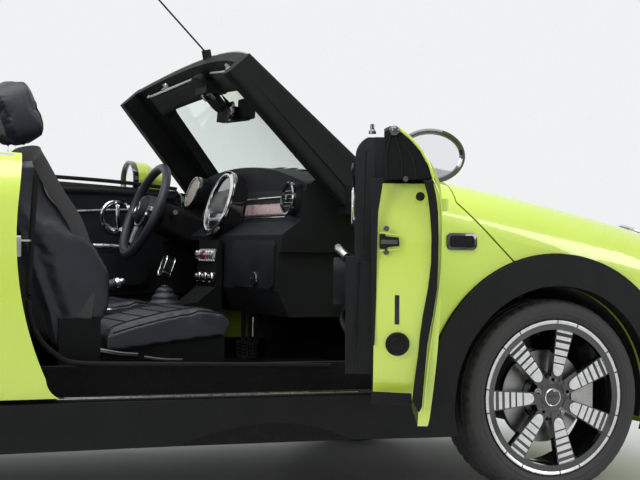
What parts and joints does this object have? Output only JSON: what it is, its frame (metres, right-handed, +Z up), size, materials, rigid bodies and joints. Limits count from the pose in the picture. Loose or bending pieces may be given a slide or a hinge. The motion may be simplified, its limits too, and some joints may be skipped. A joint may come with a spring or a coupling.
{
  "type": "two-door soft-top convertible car",
  "caption": "Compact convertible car with its soft top folded, hinged doors, bonnet and boot lid, turning road wheels and a steering wheel linked to the front wheels.",
  "frame": {"origin": "bottom centre of the whole car's box, on the floor", "axes": "+X forward, +Y to the car's left, +Z up"},
  "size_m": [3.8797, 2.8497, 1.6964],
  "materials": {
    "paint": "gloss lime-yellow paint",
    "gloss_black": "gloss black",
    "cladding": "grained dark plastic",
    "cabin_plastic": "soft black moulding",
    "chrome": "bright",
    "glass": "clear",
    "lamp_glass": "clear lamp lens",
    "tail_glass": "red lamp lens",
    "canvas": "woven black soft top",
    "seat_leather": "dark blue-grey leather",
    "steel": "plain steel",
    "iron": "rough casting",
    "tyre": "black rubber",
    "alloy": "gloss black with silver pads"
  },
  "bodies": {
    "body": {"wing_right": "paint", "wing_left": "paint", "quarter_right": "paint", "quarter_left": "paint", "cladding_right": "cladding", "cladding_left": "cladding", "floor_pan": "paint", "windscreen_frame": "cabin_plastic", "windscreen_glass": "glass", "scuttle": "cladding", "front_bumper": "paint", "grille": "gloss_black", "rear_bumper": "paint", "tail_lamps": "tail_glass", "soft_top": "canvas", "dashboard": "cabin_plastic", "centre_console": "cabin_plastic", "round_display": "gloss_black", "steering_column": "cabin_plastic", "seat_bases": "cabin_plastic", "seat_cushions": "seat_leather", "seat_backrests": "seat_leather", "head_restraints": "seat_leather", "rear_bench": "seat_leather", "cabin_trim": "cabin_plastic", "pedals": "steel", "cabin_mirror": "cabin_plastic", "antenna": "gloss_black", "engine": "iron", "front_subframe": "steel", "rear_axle": "steel", "fuel_tank": "cladding", "exhaust": "steel"},
    "bonnet": {"bonnet": "paint", "headlamps": "lamp_glass"},
    "boot_lid": {"boot_lid": "paint"},
    "door_right": {"door_right": "paint", "door_trim_right": "cabin_plastic", "mirror_right": "paint"},
    "door_left": {"door_left": "paint", "door_trim_left": "cabin_plastic", "mirror_left": "paint"},
    "steering_wheel": {"steering_wheel": "seat_leather"},
    "knuckle_right": {"knuckle_right": "iron"},
    "knuckle_left": {"knuckle_left": "iron"},
    "wheel_front_right": {"tyre_front_right": "tyre", "wheel_front_right": "alloy"},
    "wheel_front_left": {"tyre_front_left": "tyre", "wheel_front_left": "alloy"},
    "wheel_rear_right": {"tyre_rear_right": "tyre", "wheel_rear_right": "alloy"},
    "wheel_rear_left": {"tyre_rear_left": "tyre", "wheel_rear_left": "alloy"}
  },
  "joints": [
    {"name": "door_right_hinge", "type": "hinge", "parent": "body", "child": "door_right", "pos_m": [0.64104, -0.3071, 0.6], "axis": [0, 0, 1], "range_deg": [-66.1, 0.9]},
    {"name": "door_left_hinge", "type": "hinge", "parent": "body", "child": "door_left", "pos_m": [0.64104, 1.2629, 0.6], "axis": [0, 0, -1], "range_deg": [0, 67]},
    {"name": "bonnet_hinge", "type": "hinge", "parent": "body", "child": "bonnet", "pos_m": [0.75604, 0.4779, 0.96], "axis": [0, -1, 0], "range_deg": [0, 50]},
    {"name": "boot_lid_hinge", "type": "hinge", "parent": "body", "child": "boot_lid", "pos_m": [-1.93196, 0.4779, 0.572], "axis": [0, -1, 0], "range_deg": [0, 85]},
    {"name": "steering_column_turn", "type": "hinge", "parent": "body", "child": "steering_wheel", "pos_m": [0.14904, 0.8349, 0.905], "axis": [-0.9272, 0, 0.3746], "range_deg": [-448, 448]},
    {"name": "steer_right", "type": "hinge", "parent": "body", "child": "knuckle_right", "pos_m": [1.15354, -0.2021, 0.25], "axis": [0, 0.2, 0.9798], "range_deg": [-32, 32]},
    {"name": "steer_left", "type": "hinge", "parent": "body", "child": "knuckle_left", "pos_m": [1.15354, 1.1579, 0.25], "axis": [0, -0.2, 0.9798], "range_deg": [-32, 32]},
    {"name": "roll_front_right", "type": "hinge", "parent": "knuckle_right", "child": "wheel_front_right", "pos_m": [1.15354, -0.2671, 0.3105], "axis": [0, 1, 0], "continuous": true},
    {"name": "roll_front_left", "type": "hinge", "parent": "knuckle_left", "child": "wheel_front_left", "pos_m": [1.15354, 1.2229, 0.3105], "axis": [0, 1, 0], "continuous": true},
    {"name": "roll_rear_right", "type": "hinge", "parent": "body", "child": "wheel_rear_right", "pos_m": [-1.34146, -0.2671, 0.3105], "axis": [0, 1, 0], "continuous": true},
    {"name": "roll_rear_left", "type": "hinge", "parent": "body", "child": "wheel_rear_left", "pos_m": [-1.34146, 1.2229, 0.3105], "axis": [0, 1, 0], "continuous": true}
  ],
  "couplings": [
    {"joint": "steer_left", "follows": "steer_right", "ratio": 1},
    {"joint": "steering_column_turn", "follows": "steer_right", "ratio": 14}
  ]
}
